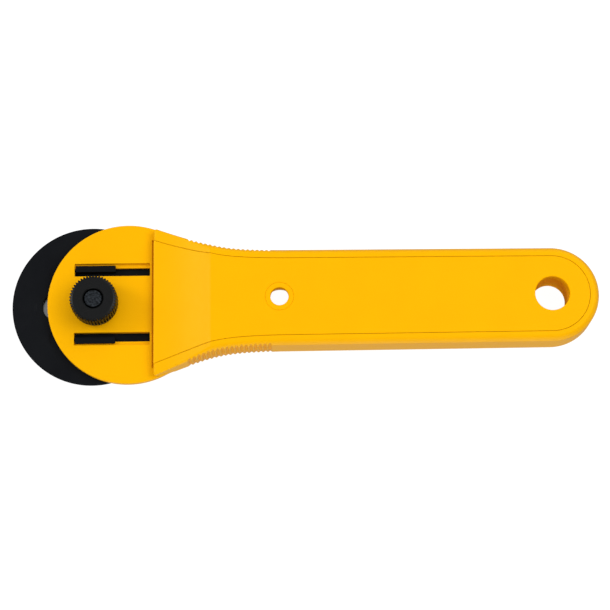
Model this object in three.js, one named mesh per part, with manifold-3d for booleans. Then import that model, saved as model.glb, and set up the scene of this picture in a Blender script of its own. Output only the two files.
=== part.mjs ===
// Straight-handled rotary cutter, 45 mm blade, guard closed. Millimetres, +Z up.
// +X runs along the handle to its tail, +Z is the plate normal on the thumb-nut side.
// The cutter is drawn about the blade axis, with z = 0 on the handle's back face, and the last
// lines move it so that the origin is the middle of the underside of its bounding box.

import * as THREE from 'three';
import { mergeVertices } from 'three/addons/utils/BufferGeometryUtils.js';
import Module from 'manifold-3d';

const wasm = await Module();
wasm.setup();

// ---------------------------------------------------------------- driving dimensions

const GAP = 0.3;                    // clearance between separate pieces
const OVERSHOOT = 1;                // how far a cutting tool runs past the face that it cuts

// Handle
const HANDLE_THICKNESS = 14;
const STEP_X = 17.9;                // front face of the thick part of the handle
const TAIL_CENTRE_X = 138.85;        // centre of the rounded tail
const TAIL_RADIUS = 14.45;
const NECK_HALF_WIDTH = 14.35;
const SHOULDER_X = 37.8;            // where the flare's straight side would meet the neck
const SHOULDER_BLEND = 9.3;         // softness of that corner
const FLARE_SLOPE = 0.418;          // side slope of the flare
const EDGE_ROUND_WIDTH = 1.9;
const EDGE_ROUND_HEIGHT = 2.2;
const EDGE_ROUND_STEPS = 3;
const FLARE_END_X = 56.4;           // where the sides have become straight
const STATION_STEP = 3.8;           // spacing of the outline's points along the flare
const BLANK_START_X = 14.6;         // the uncut handle starts here, ahead of the step

// Scooped ramp between the step and the flat front
const STEP_TOP_Z = 8.2;
const SCOOP_X = 35.5;
const SCOOP_CONTROL_X = 27.3;
const SCOOP_CONTROL_Z = 9.7;

// Inlay panels, set into the frame's front and back
const BORDER_WIDTH = 3;             // frame visible outside a panel, along the neck
const PANEL_FLARE_SLOPE = 0.37;
const PANEL_THICKNESS = 2;
const BACK_PANEL_END_RADIUS = 27.6; // about the head's centre
const PIN_STATIONS = [78, 100, 122];
const PIN_RADIUS = 1.3;
const PIN_LENGTH = 2.6;
const SOCKET_WALL = 1.2;

// Frame inside
const WALL = 2.4;
const LEDGE_WIDTH = 1.3;            // shelf under a panel's rim
const WEB_LOW_Z = 5.8;
const WEB_HIGH_Z = 8.2;
const RIB_STATIONS = [40, 66, 89, 111];
const RIB_THICKNESS = 1.6;

// Head plate, with two stepped slots for the guard's rails and a keyed hole for the bolt
const HEAD_CENTRE_X = 9.9;
const HEAD_RADIUS = 24.75;
const HEAD_LOW_Z = 2.75;
const HEAD_HIGH_Z = 5.15;
const SLOT_START_X = -6.6;
const SLOT_END_X = 16.6;
const SLOT_INNER_Y = 8.8;
const SLOT_LEDGE_Y = 11.5;
const SLOT_OUTER_Y = 12.75;
const SLOT_LEDGE_Z = 3.85;

// Holes through the handle
const TAIL_HOLE_X = 139.0;
const TAIL_HOLE_RADIUS = 5.2;
const MIDDLE_HOLE_X = 56.4;
const MIDDLE_HOLE_RADIUS = 2.75;
const MIDDLE_BORE_RADIUS = 4.9;     // wider bore behind the front panel

// Guard
const GUARD_CENTRE_X = -1.3;
const GUARD_RADIUS = 24.6;
const GUARD_LOW_Z = 0.95;
const GUARD_HIGH_Z = 2.45;
const GUARD_CHAMFER = 0.35;
const GUARD_SLOT_REACH = 12.8;      // from the blade axis to the slot's far end centre
const GUARD_TRAVEL = 10.3;
const RAIL_INNER_Y = 10.2;
const LIP_CLEARANCE = 0.6;          // between a rail's lip and the slot's outer wall
const RAIL_HIGH_Z = 4.95;
const HOOK_LOW_Z = 4.15;

// Blade
const BLADE_RADIUS = 22.5;
const BLADE_THICKNESS = 0.3;
const BLADE_BEVEL = 1;
const BLADE_HOLE_RADIUS = 4.1;
const BLADE_LOW_Z = 0.35;

// Bolt
const BOLT_HEAD_RADIUS = 7.6;
const BOLT_HEAD_THICKNESS = 1.5;
const BOLT_HEAD_HIGH_Z = 0.05;
const BOLT_HEAD_CHAMFER = 0.5;
const SHOULDER_RADIUS = 3.8;
const BOLT_HALF_FLATS = 2.9;
const KEY_LOW_Z = 2.6;
const KEY_HIGH_Z = 5.0;
const SHANK_RADIUS = 2.75;
const SHANK_HIGH_Z = 14;
const SHANK_CHAMFER = 0.35;

// Bowed spring washer
const WASHER_INNER_RADIUS = 3.3;
const WASHER_OUTER_RADIUS = 6.2;
const WASHER_THICKNESS = 0.4;
const WASHER_LOW_Z = 5.45;
const WASHER_BOW = 0.5;

// Thumb nut
const NUT_LOW_Z = 6.7;
const NUT_HIGH_Z = 14.4;
const NUT_FLANGE_RADIUS = 7;
const NUT_FLANGE_HEIGHT = 0.7;
const NUT_TIP_RADIUS = 7;
const NUT_ROOT_RADIUS = 6.55;
const NUT_FACE_RADIUS = 6.2;
const NUT_CHAMFER_HEIGHT = 0.5;
const NUT_BORE_RADIUS = 3.05;
const KNURL_TEETH = 46;

// Grip serrations in the handle's sides
const SERRATION_COUNT = 18;
const SERRATION_START_X = 29;
const SERRATION_PITCH = 1.43;
const SERRATION_RADIUS = 0.72;
const SERRATION_DEPTH = 0.45;
const SERRATION_LOW_Z = 2.6;
const SERRATION_HIGH_Z = 10.2;

// Facets round a full circle
const FINE_SEGMENTS = 80;
const ROUND_SEGMENTS = 32;
const SMALL_SEGMENTS = 12;

// Limits of the cutting tools that clear the whole handle
const FAR_X = TAIL_CENTRE_X + TAIL_RADIUS + OVERSHOOT;
const FAR_Y = HEAD_RADIUS + OVERSHOOT;
const FLOOR_Z = -OVERSHOOT;
const ROOF_Z = HANDLE_THICKNESS + OVERSHOOT;

// ---------------------------------------------------------------- solids and booleans

function toSolid(geometry) {
  const bare = geometry.clone();
  bare.deleteAttribute('normal');
  bare.deleteAttribute('uv');
  const merged = mergeVertices(bare, 1e-4);
  return new wasm.Manifold(new wasm.Mesh({
    numProp: 3,
    vertProperties: new Float32Array(merged.attributes.position.array),
    triVerts: new Uint32Array(merged.index.array),
  }));
}

function toGeometry(solid) {
  const mesh = solid.getMesh();
  const geometry = new THREE.BufferGeometry();
  geometry.setAttribute('position', new THREE.BufferAttribute(mesh.vertProperties, 3));
  geometry.setIndex(new THREE.BufferAttribute(mesh.triVerts, 1));
  geometry.computeVertexNormals();
  return geometry;
}

function joinAll(solids) {
  return solids.reduce((whole, next) => whole.add(next));
}

// An upright prism of a 2D shape between two heights. `segments` is for each of its arcs.
function prism(shape, low, high, segments = ROUND_SEGMENTS / 2) {
  const geometry = new THREE.ExtrudeGeometry(shape, {
    depth: high - low,
    bevelEnabled: false,
    curveSegments: segments,
  });
  geometry.translate(0, 0, low);
  return toSolid(geometry);
}

// A solid of revolution about the vertical line through (x, y), from [radius, height] pairs.
function turned(profile, segments, x = 0, y = 0) {
  const points = profile.map(([radius, height]) => new THREE.Vector2(radius, height));
  const geometry = new THREE.LatheGeometry(points, segments);
  geometry.rotateX(Math.PI / 2);
  geometry.translate(x, y, 0);
  return toSolid(geometry);
}

function rod(radius, low, high, x = 0, y = 0, segments = ROUND_SEGMENTS) {
  return turned([[0, low], [radius, low], [radius, high], [0, high]], segments, x, y);
}

function block(x0, x1, y0, y1, z0, z1) {
  const geometry = new THREE.BoxGeometry(x1 - x0, y1 - y0, z1 - z0);
  geometry.translate((x0 + x1) / 2, (y0 + y1) / 2, (z0 + z1) / 2);
  return toSolid(geometry);
}

// ---------------------------------------------------------------- outlines of the handle

// Half the handle's width at x: a hyperbola from the neck into the flare.
function halfWidth(x, neck, slope) {
  const before = SHOULDER_X - x;
  return neck + (slope / 2) * (before + Math.hypot(before, SHOULDER_BLEND));
}

// Closed outline from startX round the tail and back, with its neck and tail inset alike.
function handleShape(startX, inset, slope) {
  const neck = NECK_HALF_WIDTH - inset;
  const tail = TAIL_RADIUS - inset;
  const count = Math.round((FLARE_END_X - startX) / STATION_STEP);
  const side = [];
  for (let i = 0; i <= count; i += 1) {
    const x = startX + ((FLARE_END_X - startX) * i) / count;
    side.push([x, halfWidth(x, neck, slope)]);
  }
  const shape = new THREE.Shape();
  shape.moveTo(startX, -side[0][1]);
  for (const [x, y] of side.slice(1)) {
    shape.lineTo(x, -y);
  }
  shape.lineTo(TAIL_CENTRE_X, -tail);
  shape.absarc(TAIL_CENTRE_X, 0, tail, -Math.PI / 2, Math.PI / 2, false);
  for (const [x, y] of side.reverse()) {
    shape.lineTo(x, y);
  }
  return shape;
}

// Everything above the handle's front surface when that surface is sunk by `depth`.
function aboveFront(depth) {
  const low = HANDLE_THICKNESS - depth;
  const shape = new THREE.Shape();
  shape.moveTo(BLANK_START_X, STEP_TOP_Z - depth);
  shape.lineTo(STEP_X, STEP_TOP_Z - depth);
  shape.quadraticCurveTo(SCOOP_CONTROL_X, SCOOP_CONTROL_Z - depth, SCOOP_X, low);
  shape.lineTo(FAR_X, low);
  shape.lineTo(FAR_X, ROOF_Z);
  shape.lineTo(BLANK_START_X, ROOF_Z);
  const geometry = new THREE.ExtrudeGeometry(shape, {
    depth: 2 * FAR_Y,
    bevelEnabled: false,
    curveSegments: SMALL_SEGMENTS,
  });
  geometry.rotateX(Math.PI / 2);
  geometry.translate(0, FAR_Y, 0);
  return toSolid(geometry);
}

// Everything nearer the tail than a circle about the head's centre.
function behindHead(radius) {
  return block(0, FAR_X, -FAR_Y, FAR_Y, FLOOR_Z, ROOF_Z)
    .subtract(rod(radius, FLOOR_Z - OVERSHOOT, ROOF_Z + OVERSHOOT, HEAD_CENTRE_X, 0,
      FINE_SEGMENTS));
}

// ---------------------------------------------------------------- handle frame

// The uncut handle: its outline with rounded edges, cut square at the step.
function roundedBlank() {
  const shape = handleShape(BLANK_START_X, 0, FLARE_SLOPE);
  const geometry = new THREE.ExtrudeGeometry(shape, {
    depth: HANDLE_THICKNESS - 2 * EDGE_ROUND_HEIGHT,
    bevelEnabled: true,
    bevelThickness: EDGE_ROUND_HEIGHT,
    bevelSize: EDGE_ROUND_WIDTH,
    bevelOffset: -EDGE_ROUND_WIDTH,
    bevelSegments: EDGE_ROUND_STEPS,
    curveSegments: ROUND_SEGMENTS / 2,
  });
  geometry.translate(0, 0, EDGE_ROUND_HEIGHT);
  return toSolid(geometry).subtract(block(0, STEP_X, -FAR_Y, FAR_Y, FLOOR_Z, ROOF_Z));
}

// What stands in both pockets: cross ribs, tubes round the holes, and sockets for the pins.
function pocketSupports() {
  const ribs = RIB_STATIONS.map((x) => (
    block(x, x + RIB_THICKNESS, -FAR_Y, FAR_Y, FLOOR_Z, ROOF_Z)));
  const sockets = PIN_STATIONS.map((x) => (
    rod(PIN_RADIUS + GAP + SOCKET_WALL, FLOOR_Z, ROOF_Z, x, 0, SMALL_SEGMENTS)));
  const tubes = [
    rod(TAIL_HOLE_RADIUS + WALL, FLOOR_Z, ROOF_Z, TAIL_HOLE_X),
    rod(MIDDLE_BORE_RADIUS + WALL, FLOOR_Z, ROOF_Z, MIDDLE_HOLE_X),
  ];
  return joinAll([...ribs, ...sockets, ...tubes]);
}

function railSlots() {
  const cuts = [];
  for (const side of [-1, 1]) {
    const inner = side * SLOT_INNER_Y;
    const ledge = side * SLOT_LEDGE_Y;
    const outer = side * SLOT_OUTER_Y;
    cuts.push(block(SLOT_START_X, SLOT_END_X, Math.min(inner, ledge), Math.max(inner, ledge),
      HEAD_LOW_Z - OVERSHOOT, HEAD_HIGH_Z + OVERSHOOT));
    cuts.push(block(SLOT_START_X, SLOT_END_X, Math.min(inner, outer), Math.max(inner, outer),
      SLOT_LEDGE_Z, HEAD_HIGH_Z + OVERSHOOT));
  }
  return joinAll(cuts);
}

// A round bar with two flats facing +Y and -Y.
function doubleD(radius, halfFlats, low, high) {
  const bar = rod(radius, low, high);
  return bar.intersect(block(-radius, radius, -halfFlats, halfFlats, low, high));
}

function serrations() {
  const cuts = [];
  for (let i = 0; i < SERRATION_COUNT; i += 1) {
    const x = SERRATION_START_X + i * SERRATION_PITCH;
    const reach = halfWidth(x, NECK_HALF_WIDTH, FLARE_SLOPE) + SERRATION_RADIUS - SERRATION_DEPTH;
    for (const side of [-1, 1]) {
      cuts.push(rod(SERRATION_RADIUS, SERRATION_LOW_Z, SERRATION_HIGH_Z, x, side * reach,
        SMALL_SEGMENTS));
    }
  }
  return joinAll(cuts);
}

function handleFrame() {
  const seatDepth = PANEL_THICKNESS + GAP;
  const seatShape = handleShape(BLANK_START_X, BORDER_WIDTH - GAP, PANEL_FLARE_SLOPE);
  const frontSeat = prism(seatShape, 0, ROOF_Z).intersect(aboveFront(seatDepth));
  const backSeat = prism(seatShape, FLOOR_Z, seatDepth)
    .intersect(behindHead(BACK_PANEL_END_RADIUS - GAP));

  const pocketInset = BORDER_WIDTH + LEDGE_WIDTH;
  const headPocketEnd = RIB_STATIONS[0];
  const headPocket = prism(handleShape(STEP_X + WALL, pocketInset, PANEL_FLARE_SLOPE),
    HEAD_HIGH_Z, ROOF_Z)
    .intersect(block(0, headPocketEnd, -FAR_Y, FAR_Y, 0, ROOF_Z));
  const pocketShape = handleShape(headPocketEnd, pocketInset, PANEL_FLARE_SLOPE);
  const pockets = prism(pocketShape, FLOOR_Z, WEB_LOW_Z)
    .add(prism(pocketShape, WEB_HIGH_Z, ROOF_Z))
    .subtract(pocketSupports());

  const guardRecess = rod(HEAD_RADIUS + GAP, FLOOR_Z, HEAD_LOW_Z, HEAD_CENTRE_X, 0,
    FINE_SEGMENTS);
  const head = rod(HEAD_RADIUS, HEAD_LOW_Z, HEAD_HIGH_Z, HEAD_CENTRE_X, 0, FINE_SEGMENTS);
  const bores = [
    rod(TAIL_HOLE_RADIUS, FLOOR_Z, ROOF_Z, TAIL_HOLE_X),
    rod(MIDDLE_BORE_RADIUS, FLOOR_Z, ROOF_Z, MIDDLE_HOLE_X),
    doubleD(SHOULDER_RADIUS + GAP, BOLT_HALF_FLATS + GAP, FLOOR_Z, ROOF_Z),
  ];
  for (const x of PIN_STATIONS) {
    bores.push(rod(PIN_RADIUS + GAP, FLOOR_Z, WEB_LOW_Z, x, 0, SMALL_SEGMENTS));
    bores.push(rod(PIN_RADIUS + GAP, WEB_HIGH_Z, ROOF_Z, x, 0, SMALL_SEGMENTS));
  }

  return roundedBlank()
    .subtract(aboveFront(0))
    .subtract(guardRecess)
    .add(head)
    .subtract(joinAll([frontSeat, backSeat, headPocket, pockets]))
    .subtract(joinAll(bores))
    .subtract(railSlots())
    .subtract(serrations());
}

// ---------------------------------------------------------------- inlay panels

function panelPins(low, high) {
  return joinAll(PIN_STATIONS.map((x) => rod(PIN_RADIUS, low, high, x, 0, SMALL_SEGMENTS)));
}

function frontPanel() {
  const inside = HANDLE_THICKNESS - PANEL_THICKNESS;
  return prism(handleShape(STEP_X, BORDER_WIDTH, PANEL_FLARE_SLOPE), 0, HANDLE_THICKNESS)
    .intersect(aboveFront(PANEL_THICKNESS))
    .subtract(aboveFront(0))
    .add(panelPins(inside - PIN_LENGTH, inside + OVERSHOOT))
    .subtract(rod(TAIL_HOLE_RADIUS, 0, ROOF_Z, TAIL_HOLE_X))
    .subtract(rod(MIDDLE_HOLE_RADIUS, 0, ROOF_Z, MIDDLE_HOLE_X));
}

function backPanel() {
  return prism(handleShape(STEP_X, BORDER_WIDTH, PANEL_FLARE_SLOPE), 0, PANEL_THICKNESS)
    .intersect(behindHead(BACK_PANEL_END_RADIUS))
    .add(panelPins(PANEL_THICKNESS - OVERSHOOT, PANEL_THICKNESS + PIN_LENGTH))
    .subtract(rod(TAIL_HOLE_RADIUS, FLOOR_Z, ROOF_Z, TAIL_HOLE_X))
    .subtract(rod(MIDDLE_BORE_RADIUS, FLOOR_Z, ROOF_Z, MIDDLE_HOLE_X));
}

// ---------------------------------------------------------------- guard and blade

// Two hooked rails: an upright that passes through the head's slot, and a lip over its ledge.
function guardRails() {
  const startX = SLOT_START_X + GAP;
  const endX = SLOT_END_X - GAP - GUARD_TRAVEL;
  const pieces = [];
  for (const side of [-1, 1]) {
    const inner = side * RAIL_INNER_Y;
    const upright = side * (SLOT_LEDGE_Y - GAP);
    const lip = side * (SLOT_OUTER_Y - LIP_CLEARANCE);
    pieces.push(block(startX, endX, Math.min(inner, upright), Math.max(inner, upright),
      GUARD_LOW_Z + GAP, RAIL_HIGH_Z));
    pieces.push(block(startX, endX, Math.min(inner, lip), Math.max(inner, lip),
      HOOK_LOW_Z, RAIL_HIGH_Z));
  }
  return joinAll(pieces);
}

function bladeGuard() {
  const chamferRadius = GUARD_RADIUS - GUARD_CHAMFER;
  const disc = turned([
    [0, GUARD_LOW_Z],
    [GUARD_RADIUS, GUARD_LOW_Z],
    [GUARD_RADIUS, GUARD_HIGH_Z - GUARD_CHAMFER],
    [chamferRadius, GUARD_HIGH_Z],
    [0, GUARD_HIGH_Z],
  ], FINE_SEGMENTS, GUARD_CENTRE_X);
  const radius = SHOULDER_RADIUS + GAP;
  const slot = new THREE.Shape();
  slot.absarc(0, 0, radius, -Math.PI / 2, Math.PI / 2, false);
  slot.absarc(-GUARD_SLOT_REACH, 0, radius, Math.PI / 2, 1.5 * Math.PI, false);
  return disc
    .add(guardRails())
    .subtract(prism(slot, GUARD_LOW_Z - OVERSHOOT, GUARD_HIGH_Z + OVERSHOOT));
}

function blade() {
  const high = BLADE_LOW_Z + BLADE_THICKNESS;
  const land = BLADE_RADIUS - BLADE_BEVEL;
  return turned([
    [BLADE_HOLE_RADIUS, BLADE_LOW_Z],
    [land, BLADE_LOW_Z],
    [BLADE_RADIUS, (BLADE_LOW_Z + high) / 2],
    [land, high],
    [BLADE_HOLE_RADIUS, high],
    [BLADE_HOLE_RADIUS, BLADE_LOW_Z],
  ], FINE_SEGMENTS);
}

// ---------------------------------------------------------------- bolt, washer and nut

function bolt() {
  const headLow = BOLT_HEAD_HIGH_Z - BOLT_HEAD_THICKNESS;
  const head = turned([
    [0, headLow],
    [BOLT_HEAD_RADIUS - BOLT_HEAD_CHAMFER, headLow],
    [BOLT_HEAD_RADIUS, headLow + BOLT_HEAD_CHAMFER],
    [BOLT_HEAD_RADIUS, BOLT_HEAD_HIGH_Z],
    [0, BOLT_HEAD_HIGH_Z],
  ], FINE_SEGMENTS);
  const shoulder = rod(SHOULDER_RADIUS, BOLT_HEAD_HIGH_Z - OVERSHOOT, KEY_LOW_Z);
  const key = doubleD(SHOULDER_RADIUS, BOLT_HALF_FLATS, KEY_LOW_Z - OVERSHOOT, KEY_HIGH_Z);
  const shank = turned([
    [0, KEY_HIGH_Z - OVERSHOOT],
    [SHANK_RADIUS, KEY_HIGH_Z - OVERSHOOT],
    [SHANK_RADIUS, SHANK_HIGH_Z - SHANK_CHAMFER],
    [SHANK_RADIUS - SHANK_CHAMFER, SHANK_HIGH_Z],
    [0, SHANK_HIGH_Z],
  ], ROUND_SEGMENTS);
  return joinAll([head, shoulder, key, shank]);
}

// A flat ring bent about the Y axis, so that it stands on its two ends.
function springWasher() {
  const ring = new THREE.Shape();
  ring.absarc(0, 0, WASHER_OUTER_RADIUS, 0, 2 * Math.PI, false);
  const hole = new THREE.Path();
  hole.absarc(0, 0, WASHER_INNER_RADIUS, 0, 2 * Math.PI, true);
  ring.holes.push(hole);
  const geometry = new THREE.ExtrudeGeometry(ring, {
    depth: WASHER_THICKNESS,
    bevelEnabled: false,
    curveSegments: ROUND_SEGMENTS,
  });
  geometry.translate(0, 0, WASHER_LOW_Z);
  const position = geometry.attributes.position;
  for (let i = 0; i < position.count; i += 1) {
    const across = position.getX(i) / WASHER_OUTER_RADIUS;
    position.setZ(i, position.getZ(i) + WASHER_BOW * (1 - across * across));
  }
  return toSolid(geometry);
}

function thumbNut() {
  const knurl = new THREE.Shape();
  for (let i = 0; i < 2 * KNURL_TEETH; i += 1) {
    const angle = (Math.PI * i) / KNURL_TEETH;
    const radius = i % 2 === 0 ? NUT_TIP_RADIUS : NUT_ROOT_RADIUS;
    const x = radius * Math.cos(angle);
    const y = radius * Math.sin(angle);
    if (i === 0) {
      knurl.moveTo(x, y);
    } else {
      knurl.lineTo(x, y);
    }
  }
  const envelope = turned([
    [0, NUT_LOW_Z],
    [NUT_TIP_RADIUS + OVERSHOOT, NUT_LOW_Z],
    [NUT_TIP_RADIUS + OVERSHOOT, NUT_HIGH_Z - NUT_CHAMFER_HEIGHT - OVERSHOOT],
    [NUT_FACE_RADIUS, NUT_HIGH_Z],
    [0, NUT_HIGH_Z],
  ], FINE_SEGMENTS);
  const flangeHigh = NUT_LOW_Z + NUT_FLANGE_HEIGHT;
  return prism(knurl, NUT_LOW_Z, NUT_HIGH_Z)
    .intersect(envelope)
    .add(rod(NUT_FLANGE_RADIUS, NUT_LOW_Z, flangeHigh, 0, 0, FINE_SEGMENTS))
    .subtract(rod(NUT_BORE_RADIUS, NUT_LOW_Z - OVERSHOOT, NUT_HIGH_Z + OVERSHOOT));
}

// ---------------------------------------------------------------- materials and assembly

function plastic(color, roughness) {
  return new THREE.MeshStandardMaterial({ color, roughness, metalness: 0 });
}

function metal(color, roughness) {
  return new THREE.MeshStandardMaterial({ color, roughness, metalness: 1 });
}

const handleYellow = plastic(0xffbe00, 0.4);
const guardBlack = plastic(0x17191c, 0.6);
const nutBlack = plastic(0x1f1f1f, 0.55);
const bladeSteel = metal(0xc4c8cc, 0.25);
const boltSteel = metal(0x4a4e55, 0.5);
const springSteel = metal(0x9a9da2, 0.35);

const pieces = [
  ['handle_frame', handleFrame(), handleYellow],
  ['front_panel', frontPanel(), handleYellow],
  ['back_panel', backPanel(), handleYellow],
  ['blade_guard', bladeGuard(), guardBlack],
  ['blade', blade(), bladeSteel],
  ['bolt', bolt(), boltSteel],
  ['spring_washer', springWasher(), springSteel],
  ['thumb_nut', thumbNut(), nutBlack],
];

const cutter = new THREE.Group();
for (const [name, solid, material] of pieces) {
  const mesh = new THREE.Mesh(toGeometry(solid), material);
  mesh.name = name;
  cutter.add(mesh);
}

// The tip of the guard and the end of the tail bound the length, and the bolt's head the height.
const guardTipX = GUARD_CENTRE_X - GUARD_RADIUS;
const tailEndX = TAIL_CENTRE_X + TAIL_RADIUS;
cutter.position.set(-(guardTipX + tailEndX) / 2, 0, BOLT_HEAD_THICKNESS - BOLT_HEAD_HIGH_Z);

export default cutter;
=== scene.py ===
import math

import bpy
import numpy as np
from mathutils import Matrix, Vector, noise


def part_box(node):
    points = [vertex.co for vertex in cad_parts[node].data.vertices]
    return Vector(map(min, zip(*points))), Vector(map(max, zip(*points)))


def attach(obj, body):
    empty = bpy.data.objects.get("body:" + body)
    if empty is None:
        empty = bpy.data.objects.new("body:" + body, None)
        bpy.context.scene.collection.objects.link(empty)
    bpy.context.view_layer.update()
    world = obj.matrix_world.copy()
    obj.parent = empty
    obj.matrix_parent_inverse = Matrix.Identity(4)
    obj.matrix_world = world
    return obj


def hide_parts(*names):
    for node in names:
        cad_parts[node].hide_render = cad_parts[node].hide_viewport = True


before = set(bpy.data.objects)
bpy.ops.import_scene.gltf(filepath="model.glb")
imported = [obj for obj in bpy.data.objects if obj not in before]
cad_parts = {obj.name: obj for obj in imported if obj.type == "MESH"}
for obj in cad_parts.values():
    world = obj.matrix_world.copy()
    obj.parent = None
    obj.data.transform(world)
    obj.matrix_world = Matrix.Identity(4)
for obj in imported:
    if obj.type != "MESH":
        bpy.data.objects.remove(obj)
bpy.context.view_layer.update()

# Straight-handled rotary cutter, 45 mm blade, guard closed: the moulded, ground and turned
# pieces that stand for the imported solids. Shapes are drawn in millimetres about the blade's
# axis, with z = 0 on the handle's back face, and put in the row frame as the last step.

# ---------------------------------------------------------------- places taken from the frame

MM = 0.001                          # metres
blade_low, blade_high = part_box("blade")
handle_low, handle_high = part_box("handle_frame")
bolt_low, bolt_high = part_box("bolt")
blade_middle = (blade_low + blade_high) / 2
ORIGIN = Vector((blade_middle.x, blade_middle.y, handle_low.z))
TO_ROW = Matrix.Translation(ORIGIN) @ Matrix.Scale(MM, 4)

# ---------------------------------------------------------------- driving dimensions, mm

# Handle outline
HANDLE_THICKNESS = 14
STEP_X = 17.9
TAIL_CENTRE_X = 138.85
TAIL_RADIUS = 14.45
NECK_HALF_WIDTH = 14.35
SHOULDER_X = 37.8
SHOULDER_BLEND = 9.3
FLARE_SLOPE = 0.418
FLARE_END_X = 56.4
EDGE_ROUND_WIDTH = 1.9
EDGE_ROUND_HEIGHT = 2.2
EDGE_ARRIS_TURN = 28                # degrees short of upright where the rounding meets the side
STEP_EDGE_ROUND = 0.7
STEP_CORNER = 1.2                   # rounding of the step's two upright corners
STEP_ROUND_SHARE = 0.17             # of the edge rounding, where the handle is lowest
ROUND_GROWTH = 1.6                  # how late the rounding grows along the ramp

# Scooped ramp between the step and the flat front
STEP_TOP_Z = 8.2
SCOOP_X = 35.5
SCOOP_CONTROL_X = 27.3
SCOOP_CONTROL_Z = 9.7
CREASE_HALF_WIDTH = 0.45

# Inlay panels and the seats that they sit in
BORDER_WIDTH = 3
PANEL_FLARE_SLOPE = 0.37
PANEL_THICKNESS = 2
SEAT_DEPTH = 2.3
SOLID_SEAM = 0.3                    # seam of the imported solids, whose middle the fine one keeps
SEAM = 0.1
SEAM_ROUND = 0.1
SEAM_INSET = BORDER_WIDTH - SOLID_SEAM / 2
BACK_PANEL_END_RADIUS = 27.6
PIN_STATIONS = (78, 100, 122)
PIN_RADIUS = 1.3
PIN_LENGTH = 2.6
PIN_CLEARANCE = 0.3
SOCKET_WALL = 1.2

# Frame inside
WALL = 2.4
LEDGE_WIDTH = 1.3
WEB_LOW_Z = 5.8
WEB_HIGH_Z = 8.2
RIB_STATIONS = (40, 66, 89, 111)
RIB_THICKNESS = 1.6

# Head plate
HEAD_CENTRE_X = 9.9
HEAD_RADIUS = 24.75
HEAD_LOW_Z = 2.75
HEAD_HIGH_Z = 5.15
FOOT_GROOVE_WIDTH = 0.7             # fine groove in the plate along the step's foot
FOOT_GROOVE_DEPTH = 0.9
FOOT_GROOVE_LENGTH = 40
FOOT_GROOVE_CORNER = 0.05
FOOT_GROOVE_OVERLAP = 0.02          # how far its cutter runs into the step and above the plate
HEAD_EDGE_ROUND = 0.3
RECESS_CLEARANCE = 0.3
SLOT_START_X = -6.6
SLOT_END_X = 16.6
SLOT_INNER_Y = 8.8
SLOT_LEDGE_Y = 11.5
SLOT_OUTER_Y = 12.75
SLOT_LEDGE_Z = 3.85
SLOT_CORNER = 0.25
SLOT_EDGE_ROUND = 0.1

# Holes through the handle
TAIL_HOLE_X = 139.0
TAIL_HOLE_RADIUS = 5.2
TAIL_HOLE_ROUND = 0.25
MIDDLE_HOLE_X = 56.4
MIDDLE_HOLE_RADIUS = 2.75
MIDDLE_HOLE_ROUND = 0.2
MIDDLE_BORE_RADIUS = 4.9
MARK_RING_RADIUS = 4.3
MARK_RING_WIDTH = 0.16
MARK_RING_DEPTH = 0.12

# Grip serrations
SERRATION_COUNT = 18
SERRATION_START_X = 29
SERRATION_PITCH = 1.43
SERRATION_DEPTH = 0.62
STATIONS_PER_SERRATION = 10

# Guard
GUARD_CENTRE_X = -1.3
GUARD_RADIUS = 24.6
GUARD_LOW_Z = 0.95
GUARD_HIGH_Z = 2.45
GUARD_CHAMFER = 0.35
GUARD_SLOT_REACH = 12.6
GUARD_SLOT_RADIUS = 4.1
GUARD_TRAVEL = 10.3
RAIL_CLEARANCE = 0.3
RAIL_INNER_Y = 10.2
LIP_CLEARANCE = 0.6
RAIL_HIGH_Z = 4.95
RAIL_EDGE_ROUND = 0.12
HOOK_LOW_Z = 4.15
EJECTOR_MARKS = ((-21.3, 0), (-11.7, 10.2), (-11.7, -10.2), (12, 16.5), (12, -16.5))
EJECTOR_RADIUS = 3.2
EJECTOR_DEPTH = 0.15
EJECTOR_SLOPE = 0.25                # width of the slope down to a mark's floor

# Blade
BLADE_RADIUS = 22.5
BLADE_THICKNESS = 0.3
BLADE_BEVEL = 1
BLADE_EDGE = 0.02
BLADE_HOLE_RADIUS = 4.1
BLADE_LOW_Z = 0.35

# Bolt
BOLT_HEAD_RADIUS = 7.6
BOLT_HEAD_LOW_Z = -1.45
BOLT_HEAD_HIGH_Z = 0.05
BOLT_HEAD_CHAMFER = 0.5
BOLT_SHOULDER_RADIUS = 3.8
BOLT_HALF_FLATS = 2.9
KEY_CLEARANCE = 0.3
KEY_LOW_Z = 2.6
KEY_HIGH_Z = 5.0
SHANK_RADIUS = 2.75
SHANK_HIGH_Z = 14
SHANK_CHAMFER = 0.2
THREAD_PITCH = 1.0
THREAD_DEPTH = 0.28
THREAD_STEEPNESS = 1.25             # over 1, the groove's floor is flat
THREAD_START = 0.5                  # turns of plain shank below the thread
THREAD_END = 0.5                    # turns that it takes to fade out at the top
END_FACE_INSET = 1.25               # chamfers between the shank's side and its end face
END_FACE_ROUGHNESS = 0.05
END_FACE_GRAIN = 2.2                # bumps per mm
END_FACE_SEED = 3.0

# Bowed spring washer
WASHER_INNER_RADIUS = 3.3
WASHER_OUTER_RADIUS = 6.2
WASHER_THICKNESS = 0.4
WASHER_LOW_Z = 5.45
WASHER_BOW = 0.5

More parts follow.
